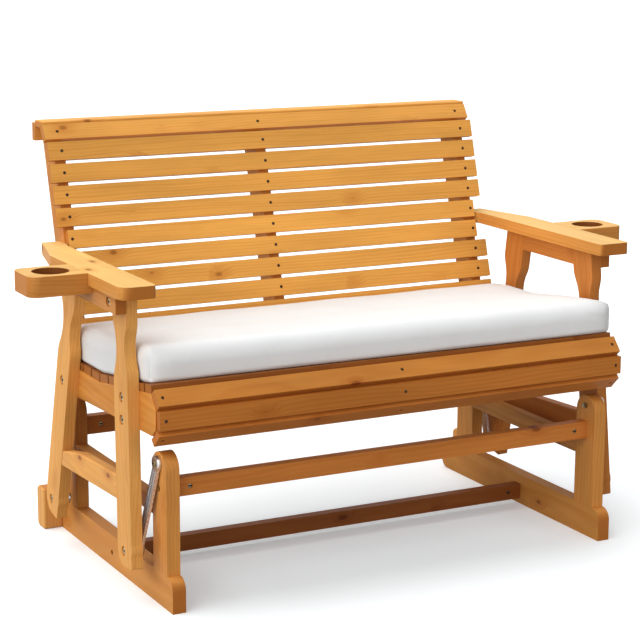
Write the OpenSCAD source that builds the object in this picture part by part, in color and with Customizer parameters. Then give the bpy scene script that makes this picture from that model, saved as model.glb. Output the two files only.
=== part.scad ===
// Glider bench: a slatted two-seat bench whose legs hang on four metal links
// from the uprights of a standing base, so that the seat swings front to rear.
// Millimetres, +Z up. The front faces -Y. The origin is on the floor, at the
// middle of the footprint. Every piece stands in its place at rest.

/* [Base] */
// Distance of the base sides' outer faces inside the legs' inner faces, at the arms' underside
base_gap = 15.5; // [12:0.5:18]
// Thickness of the runners, uprights and base side rails
base_t = 28; // [22:1:36]
// Height of the runners
runner_h = 68; // [50:1:74]
// Front end of the runners
runner_front_y = -356; // [-407:1:-339]
// Rear end of the runners
runner_rear_y = 295; // [273:1:353]
// Radius of the runners' front top and rear bottom corners
runner_round = 24; // [6:1:40]
// Width of the uprights
upright_w = 68; // [56:1:80]
// Height of the uprights' round tops
upright_top = 311; // [290:1:318]
// Bottom edge of the base side rails
base_rail_z = 175.5; // [110:0.5:200]
// Height of the base side rails
base_rail_h = 35; // [28:1:60]
// Thickness of the stretchers between the base sides
stretcher_t = 23; // [16:1:32]
// Bottom edge of the front stretcher
front_stretcher_z = 218; // [190:1:226]
// Height of the front stretcher
front_stretcher_h = 37; // [28:1:44]
// Front face of the front stretcher
front_stretcher_y = -304; // [-317:1:-295]
// Bottom edge of the rear upper stretcher
rear_stretcher_z = 227; // [190:1:230]
// Height of the rear upper stretcher
rear_stretcher_h = 40; // [28:1:46]
// Front face of the rear upper stretcher
rear_stretcher_y = 167; // [163:1:195]
// Bottom edge of the low stretcher
low_stretcher_z = 13; // [5:1:18]
// Height of the low stretcher
low_stretcher_h = 34; // [28:1:44]
// Front face of the low stretcher
low_stretcher_y = -52; // [-127:1:53]
// Width of the foot blocks beside the runners, along X
block_w = 42; // [36:1:60]
// Length of the foot blocks, along Y
block_l = 44; // [24:1:46]
// Height of the foot blocks
block_h = 92; // [60:1:120]
// Radius of the foot blocks' rear corners
block_round = 12; // [4:1:18]

/* [Links] */
// Depth of the upper pivots below the uprights' tops
pivot_drop = 22; // [18:1:34]
// Front upper pivot, along Y
pivot_front_y = -296; // [-303:1:-287]
// Rear upper pivot, along Y
pivot_rear_y = 194.5; // [188:0.5:203]
// Distance between the pivots of a link
link_l = 195.4; // [180:0.1:205]
// Angle by which the front links lead rearward on their way down
link_front_angle = 16.7; // [10:0.1:18]
// Angle by which the rear links lead forward on their way down
link_rear_angle = 7.5; // [6:0.1:14]
// Width of the links' bars
link_w = 22; // [16:1:26]
// Thickness of the links' plate between the ribs
link_t = 3; // [2:0.5:4]
// Height of the ribs over the plate
link_rib_h = 3; // [2:0.5:4]
// Width of each of the three ribs
link_rib_w = 3.4; // [2:0.1:4]
// Distance by which a link's foot stands further out than its head
link_out = 16; // [10:0.5:17]
// Thickness of the upper bearing hubs
link_hub_t = 9; // [8:0.5:11]
// Radius of the bearing hubs at the links' ends
link_hub_r = 15; // [13:0.5:17]
// Radius of the pivot bolts' shanks
pivot_r = 4; // [3.5:0.5:6]
// Radial running clearance of the hubs on the pivot bolts
pivot_clear = 0.06; // [0.02:0.01:0.1]
// Extra radial clearance in the rear links' lower hubs
open_clear = 3.6; // [3.4:0.1:4.5]
// Side clearance beside the hubs
side_clear = 0.4; // [0.3:0.1:1]

/* [Legs] */
// Half of the clear width between the legs, at the arms' underside
seat_half = 526.5; // [515:0.5:560]
// Thickness of the legs and of the rails between them
leg_t = 24; // [18:1:30]
// Width of the legs
leg_w = 70; // [60:1:80]
// Angle by which the legs lead outward on their way down
splay = 1.65; // [1:0.05:2.4]
// Distance of the legs' centre lines ahead of their lower pivots
leg_lead = 6.3; // [0:0.1:10]
// Length of the legs below their lower pivots
leg_tail = 30; // [22:0.5:34]
// Radius of the legs' lower rear corners
leg_round = 36; // [8:1:44]
// Radius of the legs' lower front corners
leg_toe = 3; // [1:1:20]
// Centre of the front legs' tops, along Y
leg_front_top_y = -199; // [-212:1:-187]
// Centre of the rear legs' tops, along Y
leg_rear_top_y = 61; // [51:1:73]
// Depth of the curved notch in a leg's front edge
notch_front = 12.5; // [4:0.5:16]
// Radius of the curved notch in a leg's front edge
notch_front_r = 76; // [50:1:140]
// Depth of the curved notch in a leg's rear edge
notch_rear = 16.5; // [4:0.5:18]
// Radius of the curved notch in a leg's rear edge
notch_rear_r = 92; // [60:1:160]
// Radius by which the notches run out into the legs' edges
notch_blend = 60; // [20:1:100]
// Drop of the front legs' notches below the arms
notch_front_drop = 110; // [90:1:130]
// Drop of the rear legs' notches below the arms
notch_rear_drop = 127; // [100:1:140]
// Bottom edge of the leg rails at the front legs
leg_rail_front_z = 197; // [170:1:230]
// Bottom edge of the leg rails at the rear legs
leg_rail_rear_z = 183; // [160:1:220]
// Height of the leg rails
leg_rail_h = 49; // [34:1:60]
// Drop of the leg rails' top edge at the rear legs
leg_rail_droop = 16; // [0:1:20]

/* [Arms] */
// Height of the arms' top faces
arm_top = 636; // [610:1:670]
// Thickness of the arms
arm_t = 25; // [18:1:32]
// Distance of the arms' inner edges inside the legs' inner faces
arm_lap = 17; // [12:0.5:20]
// Width of the arms at the front
arm_w = 73; // [66:1:90]
// Front end of the arms
arm_front_y = -293; // [-327:1:-257]
// Rear end of the arms
arm_rear_y = 246; // [239:1:268]
// Width of the arms at their rear end
arm_tail_w = 41.5; // [30:0.5:60]
// Place where the arms' outer edges begin to taper
arm_taper_y = 92; // [-7:1:140]
// Radius of the arms' inner front corners
arm_round = 9; // [3:1:16]
// Radius of the left arm's outer front corner
arm_round_left = 25; // [3:1:34]
// Radius of the right arm's outer front corner
arm_round_right = 9; // [3:1:34]
// Height of the aprons under the arms
apron_h = 37; // [26:1:50]
// Thickness of the aprons
apron_t = 22; // [16:1:30]
// Front end of the aprons
apron_front_y = -238; // [-257:1:-232]
// Rear end of the aprons
apron_rear_y = 105; // [101:1:153]
// Height of the arm rails between the legs
arm_rail_h = 39; // [26:1:50]

/* [Cup holders] */
// Reach of the cup holders out from the arms
cup_reach = 119; // [95:1:130]
// Length of the cup holders, along Y
cup_l = 107; // [90:1:112]
// Centre of the left cup holder, along Y
cup_left_y = -67; // [-107:1:-50]
// Centre of the right cup holder, along Y
cup_right_y = -56; // [-107:1:-50]
// Thickness of the cup holders
cup_t = 41; // [28:1:50]
// Radius of the cup holders' outer corners
cup_round = 22; // [6:1:30]
// Radius of the left cup hole
cup_left_r = 36.5; // [28:0.5:38]
// Radius of the right cup hole
cup_right_r = 34; // [28:0.5:38]
// Distance of the cup holes' centres from the arms
cup_hole_out = 57.5; // [50:0.5:65]

/* [Seat] */
// Height of the seat rails' flat top
seat_rail_top = 395.5; // [385:0.5:410]
// Distance of the side rails' inner faces inside the legs' inner faces
rail_wall = 22.5; // [18:0.5:30]
// Thickness of the middle rail
mid_rail_t = 24; // [18:1:30]
// Middle of the middle rail, along X
mid_rail_x = 3.5; // [-40:0.5:40]
// Rear end of the rails
rail_rear_y = 197; // [183:1:213]
// Bottom edge of the rails at their rear end
rail_rear_z = 331.5; // [325:0.5:350]
// Bottom edge of the rails at the nose
rail_front_z = 350; // [344:0.5:356]
// Number of full seat slats on the rise to the nose
rise_slats = 5; // [3:1:5]
// Place where the rise ends at the nose
nose_y = -310; // [-319:1:-302]
// Height of the rise
rise_h = 35.5; // [20:0.5:45]
// Thickness of the seat slats and nose boards
seat_slat_t = 16; // [12:0.5:20]
// Width of the seat slats
seat_slat_w = 42; // [34:1:44]
// Distance from one seat slat to the next
seat_pitch = 47; // [46:0.1:48]
// Width of the front seat slat
front_slat_w = 31; // [24:1:36]
// Width of the nose boards
nose_w = 37; // [28:1:44]
// Angle of the upper nose board below the level
nose_upper_angle = 49; // [40:1:60]
// Angle of the lower nose board below the level
nose_lower_angle = 44; // [35:1:55]

/* [Back] */
// Front plane of the back at the height of the seat rails' flat top
back_y = 129.4; // [127:0.1:133]
// Lean of the back
back_lean = 16.4; // [14:0.1:18]
// Distance of the back slats' ends inside the legs' inner faces
slat_gap = 4.5; // [2:0.5:10]
// Clearance between the two short slats and the arms' tails
short_gap = 3; // [2:0.5:8]
// Thickness of the back slats and crest boards
slat_t = 17; // [12:0.5:20]
// Width of the back slats
slat_w = 39; // [30:1:42]
// Distance from one back slat to the next
slat_pitch = 47.1; // [46.5:0.1:47.6]
// Distance of the lowest back slat's middle up the back
slat_first = 73; // [66:0.5:78]
// Depth of the back supports
support_d = 59; // [40:1:64]
// Thickness of the back supports
support_t = 24; // [18:1:30]
// Lower end of the back supports down the back
support_down = 58; // [50:1:62]
// Set-back of the crest behind the support's front edge
crest_back = 9; // [4:0.5:12]
// Tilt of the front crest board from upright
crest_tilt = 34; // [28:0.5:40]
// Width of the front crest board
crest_w = 38; // [30:0.5:44]
// Depth of the crest behind the front crest board's top
crest_cap_l = 32; // [24:0.5:40]
// Thickness of the crest cap
cap_t = 15; // [12:0.5:20]
// Width of the rear crest board
crest_rear_w = 38; // [30:1:50]
// Rise of the rear crest board past the support's top
crest_rear_rise = 8; // [0:0.5:14]

/* [Cushion] */
// Clearance between the cushion's ends and the legs
cushion_side = 2.8; // [1:0.1:20]
// Front edge of the cushion
cushion_front_y = -301; // [-306:1:-290]
// Rear edge of the cushion
cushion_rear_y = 137; // [113:1:139]
// Distance by which the cushion's right front corner lies ahead of the middle, and the left one behind
cushion_skew = 12; // [0:0.5:14]
// Thickness of the cushion beside its edge
cushion_edge = 67; // [50:1:72]
// Rise of the cushion's crown over its edge
cushion_crown = 9; // [4:1:16]
// Radius by which the cushion's top edge rounds off
cushion_round = 22; // [15:1:30]
// Radius by which the cushion's lower edge rounds off
cushion_round_low = 10; // [5:1:14]
// Depth by which the cushion's sides swell between their edges
cushion_bulge = 4; // [2:0.5:10]
// Drawn-in depth of the front and rear edges
cushion_draw = 3; // [0:0.5:10]
// Depth by which the cushion's corners are cut off
cushion_corner = 14; // [0:1:20]
// Reach of the right front corner round the leg
cushion_ear_right = 20; // [0:1:28]
// Reach of the left front corner round the leg
cushion_ear_left = 8; // [0:1:28]

/* [Fasteners] */
// Radius of the screws' heads
screw_head_r = 3.5; // [3:0.25:5]
// Height of the screws' heads
screw_head_h = 1.6; // [1:0.1:2.5]
// Depth of the screws' heads below the wood
screw_sink = 1; // [0.5:0.25:2]
// Radius of the screws' shanks
screw_r = 1.9; // [1.5:0.1:2.4]
// Length of the screws' shanks
screw_l = 33; // [25:1:38]
// Radius of the frame bolts' shanks
bolt_r = 3; // [2.5:0.25:4]
// Radius of the frame bolts' heads
bolt_head_r = 7.5; // [5:0.25:8]
// Radius of the pockets that the frame bolts' heads sit in
bolt_pocket_r = 10; // [8.5:0.25:11]
// Height of the frame bolts' heads
bolt_head_h = 3.5; // [2.5:0.25:5]
// Radius of the stretcher bolts' heads
side_head_r = 5; // [4.5:0.25:8]
// Radius of the pockets that the stretcher bolts' heads sit in
side_pocket_r = 6; // [5.5:0.25:9]
// Rise of the front legs' upper bolts over the seat rails' flat top
rail_bolt_rise = 10; // [2:0.5:12]
// Drop of the front legs' lower bolts below the seat rails' flat top
rail_bolt_drop = 34; // [25:0.5:38]
// Drop of the rear legs' bolts below the seat rails' flat top
rail_bolt_rear_drop = 28; // [20:0.5:45]
// Depth of the bolts' heads below the wood
head_sink = 2; // [0.5:0.25:3]
// Radius of the barrel nuts
barrel_r = 5; // [4:0.25:6]
// Depth of the barrel nuts' ends below the wood
barrel_sink = 1.5; // [0.5:0.25:3]
// Distance of the barrel nuts from the stretchers' ends
barrel_in = 33.5; // [20:0.5:50]
// Radial clearance of the fasteners in the wood
fit = 0.15; // [0.1:0.05:0.3]

/* [Hidden] */
$fn = 48;
WOOD = [0.80, 0.53, 0.26];
LIGHT_WOOD = [0.86, 0.60, 0.31];
STEEL = [0.74, 0.74, 0.75];
CLOTH = [0.93, 0.93, 0.92];
big = 400;
base_half = seat_half - base_gap;
base_inner = base_half - base_t;
arm_inner = seat_half - arm_lap;
rail_inner = seat_half - rail_wall;
slat_half = seat_half - slat_gap;
short_half = rail_inner - short_gap;
pivot_z = upright_top - pivot_drop;
front_pivot = [pivot_front_y, pivot_z];
rear_pivot = [pivot_rear_y, pivot_z];
front_foot = front_pivot + link_l * [sin(link_front_angle), -cos(link_front_angle)];
rear_foot = rear_pivot - link_l * [sin(link_rear_angle), cos(link_rear_angle)];
arm_under = arm_top - arm_t;
apron_in = seat_half + leg_t;
arm_outer = arm_inner + arm_w;
cup_outer = arm_outer + cup_reach;
cup_under = arm_top - cup_t;
// Inner face of the splayed legs at a height
function leg_inner(z) = seat_half + (arm_under - z) * tan(splay);
cushion_half = leg_inner(seat_rail_top + rise_h + seat_slat_t + cushion_edge / 2) - cushion_side;
seat_slat_half = leg_inner(seat_rail_top + rise_h + seat_slat_t) - side_clear;
slat_2_y = nose_y + front_slat_w + seat_pitch - seat_slat_w / 2;
// Number of full seat slats that fit ahead of the back supports
seat_slats_n = floor((back_y + slat_t / cos(back_lean) - 1 - seat_slat_w / 2 - slat_2_y) / seat_pitch) + 1;
// Place between two slats where the rails' top begins to rise to the front
rise_y = slat_2_y + (rise_slats - 0.5) * seat_pitch;
rise_angle = atan2(rise_h, rise_y - nose_y);
// Top line of the seat rails
function rail_top(y) = seat_rail_top + max(0, rise_y - y) * tan(rise_angle);
// Direction down a nose board whose angle runs below the level, ahead or back
function down(a, ahead) = [-ahead * cos(a), -sin(a)];
nose_1 = [nose_y, rail_top(nose_y)];
nose_2 = nose_1 + nose_w * down(nose_upper_angle, 1);
nose_3 = nose_2 + nose_w * [0, -1];
nose_4 = nose_3 + nose_w * down(nose_lower_angle, -1);
lean_up = [sin(back_lean), cos(back_lean)];
lean_in = [cos(back_lean), -sin(back_lean)];
back_foot = [back_y, seat_rail_top];
// Point of the back at a distance up it and a depth behind its front plane
function back_at(up, deep) = back_foot + up * lean_up + deep * lean_in;
slat_n = 9;
slat_top_up = slat_first + (slat_n - 1) * slat_pitch;
crest_foot = back_at(slat_top_up + slat_w / 2 - 2, slat_t);
crest_1 = crest_foot + [crest_back, 2];
crest_2 = crest_1 + (crest_w - 2) * [sin(crest_tilt), cos(crest_tilt)];
crest_out = crest_2 + slat_t * [-cos(crest_tilt), sin(crest_tilt)];
crest_3 = crest_2 + [crest_cap_l, 0];
crest_4 = crest_3 - [0, crest_rear_w - crest_rear_rise];
support_x = rail_inner - support_t / 2;
mid_support_x = mid_rail_x - mid_rail_t / 2 - support_t / 2;
screw_columns = [-support_x, mid_support_x, support_x];
seat_screw_x = [-(rail_inner + 14), mid_rail_x, rail_inner + 14];
short_slats = [4, 5];

// Shape in the YZ plane, given thickness along X from x0
module slab(x0, t) {
  translate([x0, 0, 0]) rotate([90, 0, 90]) linear_extrude(t) children();
}

// Rod along X from x0 to x1, through a point of the YZ plane
module rod_x(p, r, x0, x1) {
  translate([x0, p[0], p[1]]) rotate([0, 90, 0]) cylinder(r = r, h = x1 - x0);
}

// Copy of a right-hand piece on the left
module left() {
  mirror([1, 0, 0]) children();
}

// Both hands of a piece
module both() {
  children();
  left() children();
}

// Tilts what is drawn on the legs' plane outward
module splayed() {
  translate([seat_half, 0, arm_under]) rotate([0, -splay, 0])
    translate([-seat_half, 0, -arm_under]) children();
}

// Bolt along X from its end at x_end out to its head, which is sunk below the face at x_face
module bolt_x(p, x_end, x_face, head_r) {
  seat = x_face - head_sink - bolt_head_h;
  rod_x(p, bolt_r, x_end, seat + 0.01);
  rod_x(p, head_r, seat, seat + bolt_head_h);
}

// Hole and pocket of such a bolt, open to the outside
module bolt_hole_x(p, x_end, x_face, pocket_r) {
  rod_x(p, bolt_r + fit, x_end - fit, x_face + 1);
  rod_x(p, pocket_r, x_face - head_sink - bolt_head_h, x_face + 5);
}

// Screw whose hole opens at the local origin, with its shank down -Z
module screw() {
  translate([0, 0, -screw_sink - screw_head_h]) cylinder(r = screw_head_r, h = screw_head_h);
  translate([0, 0, -screw_sink - screw_head_h - screw_l]) cylinder(r = screw_r, h = screw_l + 0.01);
}

// Its hole
module screw_hole() {
  translate([0, 0, -screw_sink - screw_head_h]) cylinder(r = screw_head_r + fit, h = screw_sink + screw_head_h + 1);
  translate([0, 0, -screw_sink - screw_head_h - screw_l - fit]) cylinder(r = screw_r + fit, h = screw_l + 1);
}

stretcher_bolts_at = [
  [front_stretcher_y + stretcher_t / 2, front_stretcher_z + front_stretcher_h / 2],
  [rear_stretcher_y + stretcher_t / 2, rear_stretcher_z + rear_stretcher_h / 2],
  [low_stretcher_y + stretcher_t / 2, low_stretcher_z + low_stretcher_h / 2]
];

// Holes of the stretcher bolts in one base side
module side_bolt_holes(list) {
  for (p = list) bolt_hole_x(p, base_inner - 5, base_half, side_pocket_r);
}

// Runner with a round front top corner and a round rear bottom corner
module runner() {
  r = runner_round;
  l = runner_rear_y - runner_front_y;
  color(WOOD) difference() {
    slab(base_inner, base_t) translate([runner_front_y, 0]) {
      square([l - r, runner_h - r]);
      translate([r, runner_h - r - 0.01]) square([l - r, r + 0.01]);
      translate([l - r - 0.01, r]) square([r + 0.01, runner_h - r]);
      translate([r, runner_h - r]) circle(r);
      translate([l - r, r]) circle(r);
    }
    side_bolt_holes([stretcher_bolts_at[2]]);
  }
}

// Upright with a half-round top, standing on its runner
module upright(p, bolts) {
  color(WOOD) difference() {
    slab(base_inner, base_t) translate([p[0], 0]) {
      translate([-upright_w / 2, runner_h]) square([upright_w, upright_top - runner_h - upright_w / 2]);
      translate([0, upright_top - upright_w / 2]) circle(upright_w / 2, $fn = 72);
    }
    rod_x(p, pivot_r + fit, base_inner - 5, base_half + 5);
    side_bolt_holes(bolts);
  }
}

module front_upright() {
  upright(front_pivot, [stretcher_bolts_at[0]]);
}

module rear_upright() {
  upright(rear_pivot, [stretcher_bolts_at[1]]);
}

// Rail between the uprights of one base side
module base_rail() {
  y0 = pivot_front_y + upright_w / 2;
  y1 = pivot_rear_y - upright_w / 2;
  color(WOOD) slab(base_inner, base_t) translate([y0, base_rail_z]) square([y1 - y0, base_rail_h]);
}

// Block beside the runner's rear end, which stops the rear leg
module foot_block() {
  r = block_round;
  color(WOOD) slab(base_half, block_w) translate([runner_rear_y - block_l, 0]) {
    square([block_l - r, block_h]);
    translate([0, r]) square([block_l, block_h - 2 * r]);
    translate([block_l - r, r]) circle(r);
    translate([block_l - r, block_h - r]) circle(r);
  }
}

// Stretcher between the base sides, bored for its bolts and barrel nuts
module stretcher(y, z, h, p) {
  color(WOOD) difference() {
    translate([-base_inner, y, z]) cube([2 * base_inner, stretcher_t, h]);
    both() {
      rod_x(p, bolt_r + fit, base_inner - barrel_in - 12, base_inner + 5);
      translate([base_inner - barrel_in, y - 5, p[1]]) rotate([-90, 0, 0])
        cylinder(r = barrel_r + fit, h = stretcher_t + 10);
    }
  }
}

module front_stretcher() {
  stretcher(front_stretcher_y, front_stretcher_z, front_stretcher_h, stretcher_bolts_at[0]);
}

module rear_stretcher() {
  stretcher(rear_stretcher_y, rear_stretcher_z, rear_stretcher_h, stretcher_bolts_at[1]);
}

module low_stretcher() {
  stretcher(low_stretcher_y, low_stretcher_z, low_stretcher_h, stretcher_bolts_at[2]);
}

module stretcher_bolts() {
  color(STEEL) both() for (p = stretcher_bolts_at)
    bolt_x(p, base_inner - barrel_in + barrel_r, base_half, side_head_r);
}

module barrel_nuts() {
  color(STEEL) both() for (p = stretcher_bolts_at)
    translate([base_inner - barrel_in, p[0] - stretcher_t / 2 + barrel_sink, p[1]]) rotate([-90, 0, 0])
      cylinder(r = barrel_r, h = stretcher_t - 2 * barrel_sink);
}

hub_in = base_half + side_clear;
hub_mid = hub_in + link_hub_t;
bar_head = base_half + 1;
bar_foot = bar_head + link_out;
foot_hub_in = bar_foot - 1;
foot_nut = foot_hub_in - side_clear;

// Link in its own frame: upper pivot at the origin, lower pivot at -Z, bar leaning out to its foot
module link(foot_z, lower_gap) {
  hub_out = leg_inner(foot_z + link_hub_r) - side_clear;
  difference() {
    union() {
      translate([bar_head, 0, 0]) rotate([0, -atan(link_out / link_l), 0]) {
        slab(0, link_t) translate([-link_w / 2, -link_l]) square([link_w, link_l]);
        for (i = [-1 : 1]) slab(link_t - 0.01, link_rib_h + 0.01)
          translate([i * (link_w - link_rib_w) / 2 - link_rib_w / 2, -link_l])
            square([link_rib_w, link_l]);
      }
      rod_x([0, 0], link_hub_r, hub_in, hub_mid);
      rod_x([0, -link_l], link_hub_r, foot_hub_in, hub_out);
    }
    rod_x([0, 0], pivot_r + pivot_clear, base_half - 5, apron_in);
    rod_x([0, -link_l], pivot_r + lower_gap, base_half - 5, apron_in + 50);
  }
}

module front_link() {
  color(STEEL) translate([0, pivot_front_y, pivot_z]) rotate([link_front_angle, 0, 0])
    link(front_foot[1], pivot_clear);
}

module rear_link() {
  color(STEEL) translate([0, pivot_rear_y, pivot_z]) rotate([-link_rear_angle, 0, 0])
    link(rear_foot[1], open_clear);
}

// Upper pivot bolts, with a flat head outside the link and a nut inside the upright
module upper_pivot_bolts() {
  color(STEEL) both() for (p = [front_pivot, rear_pivot]) {
    rod_x(p, pivot_r, base_inner - 8, hub_mid + side_clear + 0.01);
    rod_x(p, 1.7 * pivot_r, hub_mid + side_clear, hub_mid + side_clear + 3);
    rod_x(p, 1.6 * pivot_r, base_inner - 5, base_inner);
  }
}

// Lower pivot bolts, with a sunk head in the leg and a thin nut inside the link
module lower_pivot_bolts() {
  color(STEEL) both() for (p = [front_foot, rear_foot]) {
    face = leg_inner(p[1]) + leg_t;
    rod_x(p, pivot_r, foot_nut - 4, face - head_sink - 2);
    rod_x(p, bolt_head_r, face - head_sink - 3, face - head_sink);
    rod_x(p, pivot_r + open_clear + 0.8, foot_nut - 4, foot_nut);
  }
}

// Outline of a leg in the YZ plane
module leg_shape(foot, top_y, notch_drop) {
  base = [foot[0] - leg_lead, foot[1]];
  a = atan2(top_y - base[0], arm_under - base[1]);
  l = arm_under - base[1];
  h = leg_w / 2;
  translate(base) rotate(-a) difference() {
    union() {
      translate([leg_toe - h, leg_round - leg_tail]) square([leg_w - leg_toe, l + leg_tail + leg_w]);
      translate([-h, leg_toe - leg_tail]) square([leg_w - leg_round, l + leg_tail + leg_w + leg_round - leg_toe]);
      translate([leg_toe - h, -leg_tail]) square([leg_w - leg_round - leg_toe, leg_w]);
      translate([leg_toe - h, leg_toe - leg_tail]) circle(leg_toe);
      translate([h - leg_round, leg_round - leg_tail]) circle(leg_round, $fn = 72);
    }
    translate([-h, (l - notch_drop) / cos(a)]) notch(notch_front, notch_front_r);
    translate([h, (l - notch_drop) / cos(a)]) mirror([1, 0]) notch(notch_rear, notch_rear_r);
  }
}

// Curved notch into an edge on the Y axis, wood at +X, which runs out by a rounding at both ends
module notch(deep, r) {
  out = r - deep;
  f = notch_blend;
  a = sqrt(pow(r + f, 2) - pow(out + f, 2));
  t = [r / (r + f) * (out + f) - out, a * r / (r + f)];
  translate([-out, 0]) circle(r, $fn = 120);
  difference() {
    polygon([[-1, -a], [0, -a], [t[0], -t[1]], t, [0, a], [-1, a]]);
    for (k = [-1, 1]) translate([f, k * a]) circle(f, $fn = 120);
  }
}

module front_leg_shape() {
  leg_shape(front_foot, leg_front_top_y, notch_front_drop);
}

module rear_leg_shape() {
  leg_shape(rear_foot, leg_rear_top_y, notch_rear_drop);
}

// Place of a leg's centre line at a height
function leg_axis(foot, top_y, z) = foot[0] - leg_lead
  + (top_y - foot[0] + leg_lead) * (z - foot[1]) / (arm_under - foot[1]);
front_bolt_z = [seat_rail_top + rail_bolt_rise, seat_rail_top - rail_bolt_drop];
rear_bolt_z = seat_rail_top - rail_bolt_rear_drop;
front_leg_bolts = [for (z = front_bolt_z) [leg_axis(front_foot, leg_front_top_y, z), z]];
rear_leg_bolts = [[leg_axis(rear_foot, leg_rear_top_y, rear_bolt_z), rear_bolt_z]];

// Bolt on the splayed plane, from the leg's outer face into the side rail
module rail_bolt(p) {
  splayed() bolt_x(p, rail_inner + 8, seat_half + leg_t, bolt_head_r);
}

// Its hole, with the head's pocket
module rail_bolt_hole(p) {
  splayed() bolt_hole_x(p, rail_inner + 8, seat_half + leg_t, bolt_pocket_r);
}

// Bolts through the aprons into the legs' tops
apron_bolts = [[leg_front_top_y, arm_under - apron_h / 2], [leg_rear_top_y, arm_under - apron_h / 2]];

module apron_bolt_holes() {
  for (p = apron_bolts) bolt_hole_x(p, seat_half + 6, apron_in + apron_t, bolt_pocket_r);
}

// Leg cut level under the arm and flat behind the apron
module leg(foot, bolts) {
  face = leg_inner(foot[1]) + leg_t;
  color(LIGHT_WOOD) difference() {
    splayed() slab(seat_half, leg_t) children();
    translate([0, -big, arm_under]) cube([2 * apron_in, 2 * big, big]);
    translate([apron_in, -big, arm_under - apron_h]) cube([big, 2 * big, big]);
    rod_x(foot, pivot_r + fit, seat_half - 5, face + 5);
    rod_x(foot, bolt_pocket_r, face - head_sink - 3, face + 10);
    for (p = bolts) rail_bolt_hole(p);
    apron_bolt_holes();
  }
}

module front_leg() {
  leg(front_foot, front_leg_bolts) front_leg_shape();
}

module rear_leg() {
  leg(rear_foot, rear_leg_bolts) rear_leg_shape();
}

// Rail between the legs, cut to their edges, with a drooping rear end
module leg_rail() {
  y0 = front_foot[0];
  y1 = rear_foot[0];
  color(WOOD) splayed() slab(seat_half, leg_t) difference() {
    polygon([
      [y0, leg_rail_front_z + 1], [y1, leg_rail_rear_z - 2],
      [y1, leg_rail_rear_z - 2 + leg_rail_h - 1.6 * leg_rail_droop],
      [(y0 + 2 * y1) / 3 - 27, leg_rail_rear_z + 3.5 + leg_rail_h], [y0, leg_rail_front_z + 1 + leg_rail_h]
    ]);
    front_leg_shape();
    rear_leg_shape();
  }
}

// Arm seen from above, with round front corners and a tapered tail
module arm(q) {
  r = arm_round;
  tail_in = rail_inner;
  color(LIGHT_WOOD) difference() {
    translate([0, 0, arm_under]) linear_extrude(arm_t) {
      polygon([
        [arm_inner, arm_front_y + r], [arm_inner + r, arm_front_y], [arm_outer - q, arm_front_y],
        [arm_outer, arm_front_y + q], [arm_outer, arm_taper_y], [tail_in + arm_tail_w, arm_rear_y],
        [tail_in, arm_rear_y], [tail_in, arm_rear_y - 42], [arm_inner, arm_rear_y - 58]
      ]);
      translate([arm_inner + r, arm_front_y + r]) circle(r);
      translate([arm_outer - q, arm_front_y + q]) circle(q, $fn = 72);
    }
    arm_bolt_hole();
  }
}

// Bolt through the arm's tail into the back support
arm_bolt_z = arm_under + arm_t / 2;
arm_bolt_y = back_y + (arm_bolt_z - seat_rail_top) * tan(back_lean) + slat_t + 18;
// Outer face of the arm's tail where the bolt's pocket is deepest
arm_bolt_x = rail_inner + arm_tail_w;

module arm_bolt_hole() {
  bolt_hole_x([arm_bolt_y, arm_bolt_z], rail_inner - support_t / 2, arm_bolt_x, bolt_pocket_r);
}

module apron() {
  color(WOOD) difference() {
    slab(apron_in, apron_t) translate([apron_front_y, arm_under - apron_h])
      square([apron_rear_y - apron_front_y, apron_h]);
    apron_bolt_holes();
  }
}

// Rail under the arm between the legs, in their plane, cut to their edges
module arm_rail() {
  color(WOOD) difference() {
    splayed() slab(seat_half, leg_t) difference() {
      translate([leg_front_top_y, arm_under - arm_rail_h])
        square([leg_rear_top_y - leg_front_top_y, 2 * arm_rail_h]);
      front_leg_shape();
      rear_leg_shape();
    }
    translate([0, -big, arm_under]) cube([2 * apron_in, 2 * big, big]);
    translate([apron_in, -big, arm_under - apron_h]) cube([big, 2 * big, big]);
  }
}

// Cup holder beside the arm, with a lip that reaches under it to the apron
module cup_holder(y, hole_r) {
  r = cup_round;
  y0 = y - cup_l / 2;
  lip = apron_in + apron_t;
  color(LIGHT_WOOD) difference() {
    union() {
      translate([arm_outer, y0, cup_under]) linear_extrude(cup_t) {
        square([cup_reach - r, cup_l]);
        translate([0, r]) square([cup_reach, cup_l - 2 * r]);
        translate([cup_reach - r, r]) circle(r);
        translate([cup_reach - r, cup_l - r]) circle(r);
      }
      translate([lip, y0, cup_under]) cube([arm_outer - lip + 1, cup_l, arm_under - cup_under]);
    }
    translate([arm_outer + cup_hole_out, y, cup_under - 5]) cylinder(r = hole_r, h = cup_t + 10, $fn = 72);
  }
}

// Side view of the seat rails: dished top, faceted nose, sloping bottom
module rail_shape() {
  t = (nose_3[1] - rail_front_z) / sin(nose_lower_angle);
  under = nose_3 + t * down(nose_lower_angle, -1);
  polygon([
    [rail_rear_y, rail_rear_z], [rail_rear_y, seat_rail_top], [rise_y, seat_rail_top],
    nose_1, nose_2, nose_3, under
  ]);
}

// Side rail, planed on its outer face to the splay of the legs
module side_rail() {
  color(WOOD) difference() {
    slab(rail_inner, leg_inner(0) - rail_inner) rail_shape();
    splayed() translate([seat_half, -big, 0]) cube([big, 2 * big, arm_under]);
    for (p = concat(front_leg_bolts, rear_leg_bolts)) rail_bolt_hole(p);
    seat_screw_set([seat_screw_x[2]]) screw_hole();
  }
}

module middle_rail() {
  color(WOOD) difference() {
    slab(mid_rail_x - mid_rail_t / 2, mid_rail_t) rail_shape();
    seat_screw_set([mid_rail_x]) screw_hole();
  }
}

// Places a seat slat's underside middle on the rails' top line
module on_rail(y) {
  a = y < rise_y ? -rise_angle : 0;
  translate([0, y, rail_top(y)]) rotate([a, 0, 0]) children();
}

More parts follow.
